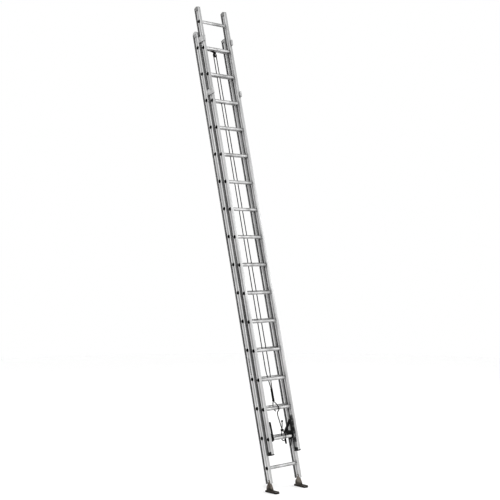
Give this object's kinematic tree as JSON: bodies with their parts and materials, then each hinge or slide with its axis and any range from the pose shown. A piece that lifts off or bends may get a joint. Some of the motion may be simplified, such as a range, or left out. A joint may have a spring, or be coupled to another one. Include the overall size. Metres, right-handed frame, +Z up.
{
  "type": "extension ladder",
  "caption": "Two-section aluminium extension ladder with I-section rails, round rungs, rope and pulley, rung hooks and swivel shoes.",
  "frame": {"origin": "on the ground, midway between the two shoe pivots", "axes": "+Z up, +X from the left rail to the right rail as the climber faces the ladder, +Y back from the climber; the rails lean back 13.8 degrees about X"},
  "size_m": [0.474, 1.3199, 5.1324],
  "materials": {
    "rail_aluminium": "mill finish, drawn lines along the rail",
    "rung_aluminium": "mill finish, serrated tread",
    "cast_aluminium": "dull cast and pressed aluminium",
    "cap_plastic": "moulded matt plastic",
    "black_paint": "satin black paint",
    "sheave_plastic": "moulded nylon",
    "zinc_steel": "zinc plate",
    "shoe_aluminium": "dull extruded aluminium, warm grey",
    "tread_rubber": "ribbed black rubber",
    "label_film": "blank dark film",
    "rope": "black twisted polypropylene rope"
  },
  "bodies": {
    "base_section": {"base_left_rail": "rail_aluminium", "base_right_rail": "rail_aluminium", "base_rung_01": "rung_aluminium", "base_rung_02": "rung_aluminium", "base_rung_03": "rung_aluminium", "base_rung_04": "rung_aluminium", "base_rung_05": "rung_aluminium", "base_rung_06": "rung_aluminium", "base_rung_07": "rung_aluminium", "base_rung_08": "rung_aluminium", "base_rung_09": "rung_aluminium", "base_rung_10": "rung_aluminium", "base_rung_11": "rung_aluminium", "base_rung_12": "rung_aluminium", "base_rung_13": "rung_aluminium", "base_rung_14": "rung_aluminium", "base_rung_15": "rung_aluminium", "base_rung_16": "rung_aluminium", "base_end_caps": "cast_aluminium", "fly_guides": "cast_aluminium", "guide_rivets": "zinc_steel", "pulley_bracket": "black_paint", "pulley_pin": "zinc_steel", "shoe_bolts": "zinc_steel", "base_label": "label_film", "rope_run": "rope"},
    "fly_section": {"fly_left_rail": "rail_aluminium", "fly_right_rail": "rail_aluminium", "fly_rung_01": "rung_aluminium", "fly_rung_02": "rung_aluminium", "fly_rung_03": "rung_aluminium", "fly_rung_04": "rung_aluminium", "fly_rung_05": "rung_aluminium", "fly_rung_06": "rung_aluminium", "fly_rung_07": "rung_aluminium", "fly_rung_08": "rung_aluminium", "fly_rung_09": "rung_aluminium", "fly_rung_10": "rung_aluminium", "fly_rung_11": "rung_aluminium", "fly_rung_12": "rung_aluminium", "fly_rung_13": "rung_aluminium", "fly_rung_14": "rung_aluminium", "fly_rung_15": "rung_aluminium", "fly_rung_16": "rung_aluminium", "fly_top_caps": "cap_plastic", "fly_bottom_caps": "cap_plastic", "lock_collars": "black_paint", "fly_labels": "label_film", "rope_hank": "rope", "rope_hitch": "rope", "rope_tail": "rope"},
    "pulley": {"pulley_sheave": "sheave_plastic"},
    "left_hook": {"left_rung_hook": "black_paint"},
    "right_hook": {"right_rung_hook": "black_paint"},
    "left_latch": {"left_hook_latch": "black_paint"},
    "right_latch": {"right_hook_latch": "black_paint"},
    "left_foot": {"left_shoe": "shoe_aluminium", "left_shoe_tread": "tread_rubber"},
    "right_foot": {"right_shoe": "shoe_aluminium", "right_shoe_tread": "tread_rubber"}
  },
  "joints": [
    {"name": "fly_slide", "type": "slide", "parent": "base_section", "child": "fly_section", "axis": [0, 0.2385, 0.9711], "range_m": [0, 3.6576], "deforming": ["rope_run"]},
    {"name": "pulley_spin", "type": "hinge", "parent": "base_section", "child": "pulley", "pos_m": [-0.01, 1.06945, 4.60994], "axis": [0, 0.9711, -0.2385], "continuous": true},
    {"name": "left_hook_swing", "type": "hinge", "parent": "fly_section", "child": "left_hook", "pos_m": [-0.145, 0.02873, 0.5259], "axis": [1, 0, 0], "range_deg": [0, 55]},
    {"name": "left_latch_swing", "type": "hinge", "parent": "left_hook", "child": "left_latch", "pos_m": [-0.145, 0.04631, 0.49687], "axis": [1, 0, 0], "range_deg": [-60, 0]},
    {"name": "left_shoe_swivel", "type": "hinge", "parent": "base_section", "child": "left_foot", "pos_m": [-0.209, 0, 0.105], "axis": [1, 0, 0], "range_deg": [-15, 15]},
    {"name": "right_hook_swing", "type": "hinge", "parent": "fly_section", "child": "right_hook", "pos_m": [0.145, 0.02873, 0.5259], "axis": [1, 0, 0], "range_deg": [0, 55]},
    {"name": "right_latch_swing", "type": "hinge", "parent": "right_hook", "child": "right_latch", "pos_m": [0.145, 0.04631, 0.49687], "axis": [1, 0, 0], "range_deg": [-60, 0]},
    {"name": "right_shoe_swivel", "type": "hinge", "parent": "base_section", "child": "right_foot", "pos_m": [0.209, 0, 0.105], "axis": [1, 0, 0], "range_deg": [-15, 15]}
  ]
}
